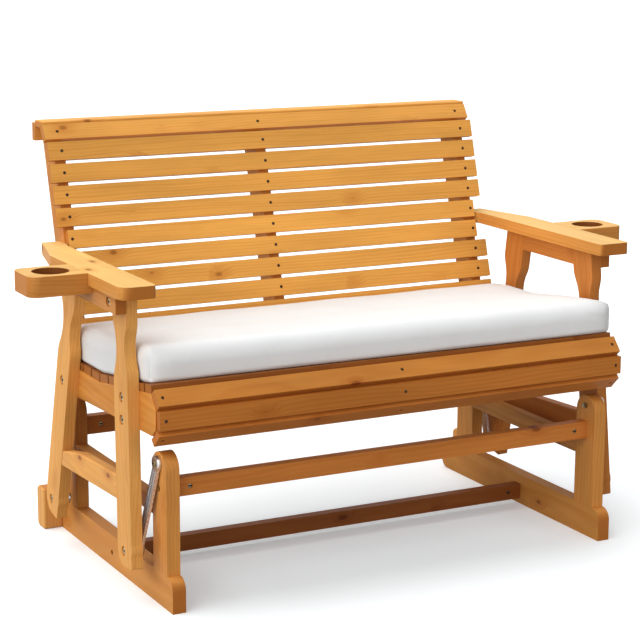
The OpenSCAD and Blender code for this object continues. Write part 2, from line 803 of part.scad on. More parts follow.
// Middle of each seat slat, front one first
function seat_slat_y(i) = i == 0 ? nose_y + front_slat_w / 2 * cos(rise_angle) : slat_2_y + (i - 1) * seat_pitch;

// Width of each seat slat
function seat_slat_width(i) = i == 0 ? front_slat_w : seat_slat_w;

module seat_slats() {
  color(LIGHT_WOOD) difference() {
    for (i = [0 : seat_slats_n]) on_rail(seat_slat_y(i))
      translate([-seat_slat_half, -seat_slat_width(i) / 2, 0])
        cube([2 * seat_slat_half, seat_slat_width(i), seat_slat_t]);
    for (i = [0 : seat_slats_n]) slat_places(i, seat_screw_x) screw_hole();
  }
}

// Puts its children where the screws of one seat slat are
module slat_places(i, columns) {
  for (x = columns) on_rail(seat_slat_y(i)) translate([x, 0, seat_slat_t]) children();
}

// Nose boards in the YZ plane, each on one edge of the rails' nose
nose_edges = [[nose_1, nose_2], [nose_2, nose_3], [nose_3, nose_4]];

// Frame of a nose board: middle of its edge, local Z outward, local Y up the edge
module on_nose(i) {
  p = nose_edges[i][0];
  q = nose_edges[i][1];
  a = atan2(p[1] - q[1], p[0] - q[0]);
  translate([0, (p[0] + q[0]) / 2, (p[1] + q[1]) / 2]) rotate([a, 0, 0]) children();
}

module nose_board(i) {
  color(LIGHT_WOOD) difference() {
    on_nose(i) translate([-seat_slat_half, -nose_w / 2, 0]) cube([2 * seat_slat_half, nose_w, seat_slat_t]);
    nose_places(i, seat_screw_x) screw_hole();
  }
}

// Puts its children where the screws of one nose board are
module nose_places(i, columns) {
  for (x = columns) on_nose(i) translate([x, 0, seat_slat_t]) children();
}

// Puts its children at all seat and nose screws of some columns
module seat_screw_set(columns) {
  for (i = [0 : seat_slats_n]) slat_places(i, columns) children();
  for (i = [0 : 2]) nose_places(i, columns) children();
}

// Frame on the back's front plane: local Z up the back, local Y into it
module on_back(up) {
  translate([0, back_at(up, 0)[0], back_at(up, 0)[1]]) rotate([-back_lean, 0, 0]) children();
}

// Back slat, counted from the lowest
module back_slat(i) {
  half = i >= short_slats[0] - 1 && i <= short_slats[1] - 1 ? short_half : slat_half;
  color(LIGHT_WOOD) difference() {
    on_back(slat_first + i * slat_pitch) translate([-half, 0, -slat_w / 2]) cube([2 * half, slat_t, slat_w]);
    back_places(i, screw_columns) screw_hole();
  }
}

// Puts its children where the screws of one back slat are
module back_places(i, columns) {
  for (x = columns) on_back(slat_first + i * slat_pitch) translate([x, 0, 0]) rotate([90, 0, 0]) children();
}

// Frames of the crest boards: local Z outward
module on_crest(i) {
  p = i == 0 ? (crest_1 + crest_2) / 2 : crest_3 - [0, (crest_rear_w - 2 * crest_rear_rise) / 2];
  a = i == 0 ? 90 - crest_tilt : -90;
  translate([0, p[0], p[1]]) rotate([a, 0, 0]) children();
}

module crest_front_board() {
  color(LIGHT_WOOD) difference() {
    on_crest(0) translate([-slat_half, -crest_w / 2 + 1, 0]) cube([2 * slat_half, crest_w - 2, slat_t]);
    crest_places(0, screw_columns) screw_hole();
  }
}

module crest_rear_board() {
  color(LIGHT_WOOD) difference() {
    on_crest(1) translate([-slat_half, -crest_rear_w / 2, 0]) cube([2 * slat_half, crest_rear_w, slat_t]);
    crest_places(1, screw_columns) screw_hole();
  }
}

// Cap over the crest, bevelled at the front to sit on the front board's top
module crest_cap() {
  color(LIGHT_WOOD) slab(-slat_half, 2 * slat_half) polygon([
    crest_2, crest_3, crest_3 + [0, cap_t], [crest_out[0], crest_2[1] + cap_t], crest_out
  ]);
}

// Puts its children where the screws of one crest board are
module crest_places(i, columns) {
  for (x = columns) on_crest(i) translate([x, 0, slat_t]) children();
}

// Puts its children at all back and crest screws of some columns
module back_screw_set(columns) {
  for (i = [0 : slat_n - 1]) back_places(i, columns) children();
  for (i = [0, 1]) crest_places(i, columns) children();
}

// Screws of the seat slats, nose boards, back slats and crest
module slat_screws() {
  color(STEEL) {
    seat_screw_set(seat_screw_x) screw();
    back_screw_set(screw_columns) screw();
  }
}

// Sloping post behind the slats, with the crest's outline at its top
module support(x) {
  color(WOOD) difference() {
    slab(x - support_t / 2, support_t) polygon([
      back_at(-support_down, slat_t), back_at(slat_top_up + slat_w / 2 - 10, slat_t),
      crest_1, crest_2, crest_3, crest_4,
      back_at(-support_down + support_d * tan(back_lean), slat_t + support_d)
    ]);
    back_screw_set([x]) screw_hole();
    arm_bolt_hole();
    left() arm_bolt_hole();
  }
}

// Bolts of the legs, aprons and arm tails
module frame_bolts() {
  color(STEEL) both() {
    for (p = concat(front_leg_bolts, rear_leg_bolts)) rail_bolt(p);
    for (p = apron_bolts) bolt_x(p, seat_half + 6, apron_in + apron_t, bolt_head_r);
    bolt_x([arm_bolt_y, arm_bolt_z], rail_inner - support_t / 2, arm_bolt_x, bolt_head_r);
  }
}

// Cells of the cushion's grid along X and Y
cushion_nx = 30;
cushion_ny = 16;
cushion_deep = (cushion_rear_y - cushion_front_y) / 2 - cushion_bulge;
// Grid parameter from -1 to 1, denser at the ends
function grid(i, n) = sin(90 * (2 * i / n - 1));
// Quarter round over the distance from the rim: nothing on it, one inside
function rounding(d, r) = sqrt(1 - pow(1 - min(1, d / r), 2));
// Fullness over the grid: nothing on the rim, one inside its rounded edge
function full(u, v, r) = rounding((1 - abs(u)) * cushion_half, r) * rounding((1 - abs(v)) * cushion_deep, r);
// Slow crown over the whole cushion
function crown(u, v) = (1 - pow(abs(u), 12)) * (1 - pow(abs(v), 4));
// How far a front corner reaches round its leg
function ear(u, v) = (u > 0 ? cushion_ear_right : -cushion_ear_left) * pow(abs(u), 8)
  * max(0, min(1, (-v - 0.83) / 0.09));
// How far a corner is cut off, along each axis
function corner(u, v) = cushion_corner * pow(abs(u), 40) * pow(abs(v), 16);
function cushion_x(u, v) = u * (cushion_half - cushion_bulge - corner(u, v)) + ear(u, v);
function cushion_y(u, v) = (cushion_front_y + cushion_rear_y) / 2 - cushion_skew * u * (1 - v) / 2
  + v * (cushion_deep - cushion_draw * (1 - u * u) - corner(u, v));
function cushion_floor(y) = rail_top(y) + seat_slat_t / cos(rise_angle) + side_clear;
// Height of the top (side 1) or of the underside (side -1) over the slats
function cushion_rise(u, v, side) = side > 0
  ? cushion_edge - cushion_round * (1 - full(u, v, cushion_round)) + cushion_crown * crown(u, v)
  : cushion_round_low * (1 - full(u, v, cushion_round_low));
function cushion_point(c, side) = let(u = grid(c[0], cushion_nx), v = grid(c[1], cushion_ny))
  [cushion_x(u, v), cushion_y(u, v), cushion_floor(cushion_y(u, v)) + cushion_rise(u, v, side)];
// Point of the widest line round the sides, which stands out by the bulge
function cushion_waist(c) = let(u = grid(c[0], cushion_nx), v = grid(c[1], cushion_ny))
  [cushion_x(u, v) + cushion_bulge * pow(u, 31), cushion_y(u, v) + cushion_bulge * pow(v, 15),
    cushion_floor(cushion_y(u, v)) + (cushion_rise(u, v, 1) + cushion_rise(u, v, -1)) / 2];

// Crowned seat cushion with drawn-in front and rear edges
module cushion() {
  row = cushion_nx + 1;
  nx = cushion_nx;
  ny = cushion_ny;
  all = [for (j = [0 : ny]) for (i = [0 : nx]) [i, j]];
  cells = [for (j = [0 : ny - 1]) for (i = [0 : nx - 1]) j * row + i];
  // Rim of the grid, once round
  rim = concat([for (i = [0 : nx - 1]) [i, 0]], [for (j = [0 : ny - 1]) [nx, j]],
    [for (i = [0 : nx - 1]) [nx - i, ny]], [for (j = [0 : ny - 1]) [0, ny - j]]);
  low = len(all);
  waist = 2 * len(all);
  n = len(rim);
  top_faces = [for (a = cells) each [[a, a + row, a + 1], [a + 1, a + row, a + row + 1]]];
  low_faces = [for (f = top_faces) [low + f[0], low + f[2], low + f[1]]];
  edge_faces = [for (k = [0 : n - 1]) let(m = (k + 1) % n, a = rim[k][1] * row + rim[k][0],
      b = rim[m][1] * row + rim[m][0]) each
    [[a, b, waist + m], [a, waist + m, waist + k], [waist + k, waist + m, low + b], [waist + k, low + b, low + a]]];
  color(CLOTH) polyhedron(
    points = concat([for (c = all) cushion_point(c, 1)], [for (c = all) cushion_point(c, -1)],
      [for (c = rim) cushion_waist(c)]),
    faces = concat(top_faces, low_faces, edge_faces), convexity = 4);
}

runner();  // runner_right
left() runner();  // runner_left
front_upright();  // front_upright_right
left() front_upright();  // front_upright_left
rear_upright();  // rear_upright_right
left() rear_upright();  // rear_upright_left
base_rail();  // base_rail_right
left() base_rail();  // base_rail_left
foot_block();  // foot_block_right
left() foot_block();  // foot_block_left
front_stretcher();
rear_stretcher();
low_stretcher();
stretcher_bolts();
barrel_nuts();
upper_pivot_bolts();
front_link();  // front_link_right
left() front_link();  // front_link_left
rear_link();  // rear_link_right
left() rear_link();  // rear_link_left
lower_pivot_bolts();
front_leg();  // front_leg_right
left() front_leg();  // front_leg_left
rear_leg();  // rear_leg_right
left() rear_leg();  // rear_leg_left
leg_rail();  // leg_rail_right
left() leg_rail();  // leg_rail_left
arm(arm_round_right);  // arm_right
left() arm(arm_round_left);  // arm_left
arm_rail();  // arm_rail_right
left() arm_rail();  // arm_rail_left
apron();  // apron_right
left() apron();  // apron_left
cup_holder(cup_right_y, cup_right_r);  // cup_holder_right
left() cup_holder(cup_left_y, cup_left_r);  // cup_holder_left
side_rail();  // side_rail_right
left() side_rail();  // side_rail_left
middle_rail();
seat_slats();
nose_board(0);  // nose_board_upper
nose_board(1);  // nose_board_middle
nose_board(2);  // nose_board_lower
back_slat(0);  // back_slat_1
back_slat(1);  // back_slat_2
back_slat(2);  // back_slat_3
back_slat(3);  // back_slat_4
back_slat(4);  // back_slat_5
back_slat(5);  // back_slat_6
back_slat(6);  // back_slat_7
back_slat(7);  // back_slat_8
back_slat(8);  // back_slat_9
crest_front_board();
crest_cap();
crest_rear_board();
slat_screws();
support(support_x);  // support_right
support(mid_support_x);  // support_middle
support(-support_x);  // support_left
frame_bolts();
cushion();
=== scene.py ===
import math

import bpy
import numpy as np
from mathutils import Matrix, Vector


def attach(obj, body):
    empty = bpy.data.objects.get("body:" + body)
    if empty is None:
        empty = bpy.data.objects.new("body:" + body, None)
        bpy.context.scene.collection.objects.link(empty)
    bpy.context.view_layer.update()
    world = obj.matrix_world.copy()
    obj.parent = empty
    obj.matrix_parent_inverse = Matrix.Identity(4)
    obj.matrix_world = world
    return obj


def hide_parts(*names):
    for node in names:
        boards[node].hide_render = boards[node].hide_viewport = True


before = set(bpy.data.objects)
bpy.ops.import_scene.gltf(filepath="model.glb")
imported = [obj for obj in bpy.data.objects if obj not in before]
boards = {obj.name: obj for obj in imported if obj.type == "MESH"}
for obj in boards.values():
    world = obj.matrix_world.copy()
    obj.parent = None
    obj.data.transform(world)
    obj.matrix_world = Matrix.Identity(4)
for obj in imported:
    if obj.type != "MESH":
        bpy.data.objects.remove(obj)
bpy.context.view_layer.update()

# Studio: a plain white floor, an even pale surround and three soft lamps: above, left and front.
# The camera stands to the bench's left front, 1.4 metres above the floor and a little over four
# metres from the bench.
yaw, pitch, roll = (math.radians(a) for a in (27.6046, 12.1151, -0.3315))
camera_place = (-1.93809, -3.68960, 1.35911)
film_width, focal_pixels, picture_pixels = 36.0, 1982.26, 640.0
ahead = np.array([math.sin(yaw) * math.cos(pitch), math.cos(yaw) * math.cos(pitch), -math.sin(pitch)])
across = np.array([math.cos(yaw), -math.sin(yaw), 0.0])
under = np.cross(ahead, across)
across, under = (
    math.cos(roll) * across + math.sin(roll) * under,
    -math.sin(roll) * across + math.cos(roll) * under,
)
lens = bpy.data.cameras.new("camera")
lens.sensor_width = film_width
lens.lens = film_width * focal_pixels / picture_pixels
lens.clip_start, lens.clip_end = 0.1, 100.0
camera = bpy.data.objects.new("camera", lens)
bpy.context.scene.collection.objects.link(camera)
turned_view = Matrix(np.column_stack([across, -under, -ahead]).tolist()).to_4x4()
camera.matrix_world = Matrix.Translation(camera_place) @ turned_view
bpy.context.scene.camera = camera
bpy.context.scene.view_settings.view_transform = "Standard"


def shader(name):
    """New material with an empty node tree and its output, as (material, tree, output)."""
    made = bpy.data.materials.new(name)
    made.use_nodes = True
    made.node_tree.nodes.clear()
    return made, made.node_tree, made.node_tree.nodes.new("ShaderNodeOutputMaterial")


def put(tree, kind, values=(), **settings):
    """New node of a kind; values maps a socket's name or number to a constant or to an output."""
    made = tree.nodes.new("ShaderNode" + kind)
    for key, value in settings.items():
        setattr(made, key, value)
    for key, value in dict(values).items():
        if isinstance(value, bpy.types.NodeSocket):
            tree.links.new(value, made.inputs[key])
        else:
            made.inputs[key].default_value = value
    return made


def reckon(tree, operation, *values):
    """Output of a Math node of the given operation, on one, two or three constants or outputs."""
    return put(tree, "Math", dict(enumerate(values)), operation=operation).outputs[0]


def shade_floor():
    """Matt white where it is seen, with a little glow so that it ends as a plain white ground.
    The light that it throws back on the bench is dimmer, as in a large dark hall."""
    made, tree, out = shader("floor")
    dim = put(tree, "BsdfDiffuse", {"Color": (0.22, 0.22, 0.22, 1)})
    matt = put(tree, "BsdfDiffuse", {"Color": (0.84, 0.89, 0.91, 1)})
    glow = put(tree, "Emission", {"Color": (1, 1, 1, 1), "Strength": 0.25})
    seen = put(tree, "AddShader", {0: matt.outputs[0], 1: glow.outputs[0]})
    path = put(tree, "LightPath").outputs
    direct = reckon(tree, "MAXIMUM", path["Is Camera Ray"], path["Is Glossy Ray"])
    mixed = put(tree, "MixShader", {0: direct, 1: dim.outputs[0], 2: seen.outputs[0]})
    tree.links.new(mixed.outputs[0], out.inputs["Surface"])
    return made


floor_reach = 30
ground = bpy.data.meshes.new("floor")
corners = [(x * floor_reach, y * floor_reach, 0) for x, y in ((-1, -1), (1, -1), (1, 1), (-1, 1))]
ground.from_pydata(corners, [], [(0, 1, 2, 3)])
ground.materials.append(shade_floor())
floor = bpy.data.objects.new("floor", ground)
bpy.context.scene.collection.objects.link(floor)

surround = bpy.data.worlds.new("surround")
bpy.context.scene.world = surround
surround.use_nodes = True
sky = surround.node_tree
sky.nodes.clear()
even = put(sky, "Background", {"Color": (1, 1, 1, 1), "Strength": 0.25})
white = put(sky, "Background", {"Color": (1, 1, 1, 1), "Strength": 1.0})
way = put(sky, "LightPath").outputs
plain = reckon(sky, "MAXIMUM", way["Is Camera Ray"], way["Is Glossy Ray"])
plain = reckon(sky, "MAXIMUM", plain, way["Is Transmission Ray"])
joined = put(sky, "MixShader", {0: plain, 1: even.outputs[0], 2: white.outputs[0]})
horizon = put(sky, "OutputWorld")
sky.links.new(joined.outputs[0], horizon.inputs["Surface"])

for name, towards, strength, softness in (
    ("lamp_above", (0.15, -0.42, -1.0), 2.1, 60),
    ("lamp_left", (1.0, 0.25, -0.35), 2.2, 80),
    ("lamp_front", (0.15, 1.0, -0.50), 1.10, 90),
):
    sun = bpy.data.lights.new(name, "SUN")
    sun.energy = strength
    sun.angle = math.radians(softness)
    lamp = bpy.data.objects.new(name, sun)
    bpy.context.scene.collection.objects.link(lamp)
    lamp.rotation_mode = "QUATERNION"
    lamp.rotation_quaternion = Vector(towards).to_track_quat("-Z", "Y")


# Sides of the standing base: on each side a runner on the ground, two uprights with round tops,
# a rail between them and a stop block at the runner's rear end.
# All of it is planed pine with a honey stain, its edges eased by hand with a plane.
def remap(tree, value, low, high, to_low, to_high, **settings):
    """Line from to_low at low to to_high at high, level outside them: straight, or an S if smoothed."""
    return put(tree, "MapRange", {0: value, 1: low, 2: high, 3: to_low, 4: to_high}, **settings).outputs[0]


def mix(tree, amount, one, other, **settings):
    """Two colours in one: the first where the amount is nothing, and where it is one the other, or
    with MULTIPLY the product of the two."""
    return put(tree, "Mix", {0: amount, 6: one, 7: other}, data_type="RGBA", **settings).outputs[2]


def noise(tree, place, scale, detail, rough):
    """Soft noise, with its own number of waves to the metre on each axis."""
    drawn = put(tree, "Mapping", {"Vector": place, "Scale": scale}).outputs[0]
    return put(tree, "TexNoise", {0: drawn, "Scale": 1.0, "Detail": detail, "Roughness": rough}).outputs[0]


def times(tone, factors):
    """A colour, each of its three parts times its own factor."""
    return tuple(part * factor for part, factor in zip(tone, factors)) + (1,)


def pine(name, length, thick, seed, tone, lean=0.0, top=(1, 1, 1), ends=(0.62, 0.44, 0.26), hole=None):
    """Stained pine on Object coordinates, reordered so that local X runs along the board and local Z
    through its thickness; length and thick are the letters of those axes. Growth rings are shells
    round a pith line beside the board: ring = frac(distance from the pith x rings to the metre + slow
    noise). Knots are rods through the thickness, from a cell pattern in the board's plane, and push
    the rings aside. Lean tips the grain about X, in degrees. Top and ends are factors, one on the
    colour of upward faces, as painted light, and the other on the tone of sawn ends. The wall of a
    shaded hole is darkened, partly as stain and partly as painted shade."""
    made, tree, out = shader(name)
    rng = np.random.default_rng(seed)
    where = put(tree, "TexCoord").outputs
    leant = put(tree, "Mapping", {"Vector": where["Object"], "Rotation": (math.radians(lean), 0, 0)})
    axes = put(tree, "SeparateXYZ", {0: leant.outputs[0]}).outputs
    width = [a for a in "XYZ" if a not in (length, thick)][0]
    place = put(tree, "CombineXYZ", {0: axes[length], 1: axes[width], 2: axes[thick]}).outputs[0]
    own_part = tuple(rng.uniform(-9, 9, 3))
    place = put(tree, "Mapping", {"Vector": place, "Location": own_part}).outputs[0]

    # Cells of about 77 by 38 mm in the board's plane, one in six of them with a knot
    cells_to_metre, knotty = (13.0, 26.0, 1.0), 0.16
    cells = put(tree, "Mapping", {"Vector": place, "Scale": cells_to_metre}).outputs[0]
    spots = put(tree, "TexVoronoi", {"Vector": cells, "Scale": 1.0, "Randomness": 1.0}).outputs
    chance = put(tree, "SeparateColor", {0: spots["Color"]}).outputs
    near = remap(tree, spots["Distance"], 0.0, 0.62, 1.0, 0.0, interpolation_type="SMOOTHSTEP")
    swirl = reckon(tree, "MULTIPLY", near, reckon(tree, "LESS_THAN", chance[0], knotty))
    rim = remap(tree, chance[1], 0.0, 1.0, 0.70, 0.90)
    heart = remap(tree, swirl, rim, 0.97, 0.0, 1.0, interpolation_type="SMOOTHSTEP")

    # Growth rings round the pith, with a slow wander along the board, darkest late in each year
    rings_to_metre, rings_of_wander, rings_of_knot = 150.0, 5.5, 2.0
    flat = put(tree, "CombineXYZ", {1: axes[width], 2: axes[thick]}).outputs[0]
    pith = (0, rng.uniform(-0.02, 0.02), rng.uniform(0.02, 0.05))
    away = put(tree, "VectorMath", {0: flat, 1: pith}, operation="DISTANCE").outputs["Value"]
    wander = noise(tree, place, (1.8, 8.0, 8.0), 2.0, 0.5)
    rings = reckon(tree, "MULTIPLY", away, rings_to_metre)
    rings = reckon(tree, "MULTIPLY_ADD", wander, rings_of_wander, rings)
    rings = reckon(tree, "MULTIPLY_ADD", swirl, rings_of_knot, rings)
    year = put(tree, "ValToRGB", {0: reckon(tree, "FRACT", rings)})
    year.color_ramp.interpolation = "EASE"
    early, late = year.color_ramp.elements
    early.position, early.color = 0.0, (0, 0, 0, 1)
    late.position, late.color = 0.72, (1, 1, 1, 1)
    year.color_ramp.elements.new(0.96).color = (0.05, 0.05, 0.05, 1)
    late_wood = year.outputs[0]

    # Spring wood and summer wood, some years bolder than others, and fainter on the sawn ends
    facing = put(tree, "SeparateXYZ", {0: where["Normal"]}).outputs
    end_on = reckon(tree, "ABSOLUTE", facing[length])
    strength = remap(tree, end_on, 0.75, 0.95, 0.55, 0.25)
    count = reckon(tree, "FLOOR", rings)
    luck = put(tree, "TexWhiteNoise", {"W": count}, noise_dimensions="1D").outputs[0]
    bold = reckon(tree, "MULTIPLY", remap(tree, luck, 0.0, 1.0, 0.25, 1.0), strength)
    amount = reckon(tree, "MULTIPLY", late_wood, bold)
    colour = mix(tree, amount, times(tone, (1.05, 1.08, 1.12)), times(tone, (0.86, 0.72, 0.52)))

    # Fibres and slow blotches of the stain, each board a little lighter or darker than the next
    fibre = noise(tree, place, (9.0, 330.0, 330.0), 3.0, 0.6)
    blotch = noise(tree, place, (2.6, 16.0, 16.0), 3.0, 0.55)
    shade = rng.uniform(0.95, 1.04)
    level = remap(tree, blotch, 0.25, 0.75, 0.82 * shade, 1.10 * shade)
    grain = remap(tree, fibre, 0.3, 0.7, 0.95, 1.04)
    both = reckon(tree, "MULTIPLY", level, grain)
    colour = put(tree, "VectorMath", {0: colour, "Scale": both}, operation="SCALE").outputs[0]

    # Knots: a warm rim and a dark heart
    colour = mix(tree, reckon(tree, "MULTIPLY", swirl, 0.50), colour, times(tone, (0.66, 0.46, 0.30)))
    colour = mix(tree, reckon(tree, "MULTIPLY", heart, 0.80), colour, times(tone, (0.34, 0.20, 0.16)))

    # End grain soaks up its own share of stain, and upward faces are made lighter by the top factor:
    # painted light
    colour = mix(tree, remap(tree, end_on, 0.60, 0.95, 0.0, 0.80), colour, times(tone, ends))
    upward_lit = remap(tree, facing[2], 0.55, 0.95, 0.0, 1.0)
    colour = mix(tree, upward_lit, colour, tuple(top) + (1,), blend_type="MULTIPLY")

    # The wall of a hole, given as its axis (x, y) and its radius, is darkened: partly the stain that its
    # cut wall soaks up, partly painted shade
    if hole is not None:
        x, y, radius = hole
        from_axis = put(tree, "Mapping", {"Vector": where["Object"], "Location": (-x, -y, 0)}).outputs[0]
        from_axis = put(tree, "SeparateXYZ", {0: from_axis}).outputs
        from_axis = put(tree, "CombineXYZ", {0: from_axis[0], 1: from_axis[1]}).outputs[0]
        reach = put(tree, "VectorMath", {0: from_axis}, operation="LENGTH").outputs["Value"]
        hole_shade = remap(tree, reach, radius + 0.0002, radius + 0.002, 1.0, 0.0)
        colour = mix(tree, hole_shade, colour, (0.34, 0.24, 0.14, 1), blend_type="MULTIPLY")

    rough = remap(tree, fibre, 0.3, 0.7, 0.46, 0.60)
    relief = reckon(tree, "MULTIPLY_ADD", late_wood, 0.5, fibre)
    bump = put(tree, "Bump", {"Height": relief, "Strength": 0.22, "Distance": 0.0006}).outputs[0]
    surface = put(tree, "BsdfPrincipled", {"Base Color": colour, "Roughness": rough, "Normal": bump,
                                           "Specular IOR Level": 0.14})
    tree.links.new(surface.outputs[0], out.inputs["Surface"])
    return made


def ease(name, radius, segments):
    """Eases a part's edges: welds its loose triangles, makes its flat faces whole, and rounds each edge
    that turns by more than 32 degrees."""
    board = boards[name]
    board.modifiers.new("weld", "WELD").merge_threshold = 0.00002
    whole = board.modifiers.new("whole", "DECIMATE")
    whole.decimate_type = "DISSOLVE"
    whole.angle_limit = math.radians(0.6)
    edge = board.modifiers.new("edge", "BEVEL")
    edge.width = radius
    edge.segments = segments
    edge.limit_method = "ANGLE"
    edge.angle_limit = math.radians(32)
    edge.harden_normals = True


def finish_board(name, length, thick, seed, radius, **more):
    """Gives a board its own pine and eased edges, with one more facet on the rounder ones."""
    cladding = pine("pine_" + name, length, thick, seed, **more)
    boards[name].data.materials.clear()
    boards[name].data.materials.append(cladding)
    ease(name, radius, 3 if radius > 0.0025 else 2)


base_tone, block_tone = (0.64, 0.265, 0.058), (0.77, 0.37, 0.100)
for i, side in enumerate(("right", "left")):
    finish_board("runner_" + side, "Y", "X", 10 + i, radius=0.005, tone=base_tone)
    finish_board("front_upright_" + side, "Z", "X", 12 + i, radius=0.005, tone=base_tone)
    finish_board("rear_upright_" + side, "Z", "X", 14 + i, radius=0.005, tone=base_tone)
    finish_board("base_rail_" + side, "Y", "X", 16 + i, radius=0.004, tone=base_tone)
    finish_board("foot_block_" + side, "Z", "Y", 18 + i, radius=0.004, tone=block_tone)

# Three pine stretchers hold the base's sides apart: one in front, one high and one low behind.
# Each end is drawn tight by a bolt through the side into a barrel nut in the stretcher. The rear
# one is darker and the low one, near the ground, the darkest: painted shade under the seat.
for i, (name, tone) in enumerate((
    ("front_stretcher", (0.56, 0.185, 0.034)),
    ("rear_stretcher", (0.42, 0.130, 0.024)),
    ("low_stretcher", (0.26, 0.078, 0.017)),
)):
    finish_board(name, "X", "Y", 20 + i, radius=0.004, tone=tone)


def zinc(name, tone, rough, grain=260.0):
    """Zinc-plated steel: soft cloudy spangle in the colour and in the roughness, on Object coordinates."""
    made, tree, out = shader(name)
    where = put(tree, "TexCoord").outputs["Object"]
    spangle = put(tree, "TexNoise", {"Vector": where, "Scale": grain, "Detail": 4.0, "Roughness": 0.6})
    clouds = spangle.outputs[0]
    tint = mix(tree, clouds, times(tone, (0.72, 0.72, 0.72)), times(tone, (1.18, 1.18, 1.18)))
    dull = remap(tree, clouds, 0.3, 0.7, rough - 0.07, rough + 0.09)
    bump = put(tree, "Bump", {"Height": clouds, "Strength": 0.25, "Distance": 0.0004}).outputs[0]
    surface = put(tree, "BsdfPrincipled", {"Base Color": tint, "Metallic": 1.0, "Roughness": dull,
                                           "Normal": bump})
    tree.links.new(surface.outputs[0], out.inputs["Surface"])
    return made


def solids_of(name):
    """Points of each separate solid of a node: corners of one triangle belong to the same solid."""
    mesh = boards[name].data
    places = np.empty(3 * len(mesh.vertices))
    mesh.vertices.foreach_get("co", places)
    corners = np.empty(len(mesh.loops), dtype=np.int64)
    mesh.loops.foreach_get("vertex_index", corners)
    points, same = np.unique(np.round(places.reshape(-1, 3), 5), axis=0, return_inverse=True)
    corners = same.reshape(-1)[corners].reshape(-1, 3)
    label = np.arange(len(points))
    while True:
        lower = label.copy()
        np.minimum.at(lower, corners.ravel(), np.repeat(label[corners].min(axis=1), 3))
        lower = lower[lower]
        if (lower == label).all():
            return [points[label == k] for k in np.unique(label)]
        label = lower


def polygon_mouth(sides, reach):
    """Radius of a regular polygon at an angle: reach over the cosine of the angle from its nearest edge."""
    step = 2 * math.pi / sides
    return lambda turn: reach / np.cos((turn % step) - step / 2)


def slot_mouth(half_length, half_width):
    """Radius of a slot at an angle: the nearer of its two pairs of sides."""
    return lambda turn: np.minimum(half_length / np.maximum(1e-6, abs(np.cos(turn))),
                                   half_width / np.maximum(1e-6, abs(np.sin(turn))))


def cross_mouth(half_length, half_width):
    """Radius of a cross at an angle: the farther reach of two slots at a right angle."""
    one, two = slot_mouth(half_length, half_width), slot_mouth(half_width, half_length)
    return lambda turn: np.maximum(one(turn), two(turn))


def outline_of(along, out, same=0.0002):
    """Turned outline of a solid from its points, as (height on the axis, radius), from the top down:
    where the points of one height have two radii, the outline steps from one to the other. Heights
    and radii less than same apart count as one."""
    heights = np.sort(along)[::-1]
    heights = heights[np.append(True, -np.diff(heights) > same)]
    radius = out[along > heights[0] - same].max()
    outline = [(heights[0], radius)]
    for height in heights[1:]:
        here = out[abs(along - height) < same]
        outline.append((height, radius))
        if (abs(here - radius) > same).any():
            radius = here[abs(here - radius) > same].mean()
            outline.append((height, radius))
    return outline


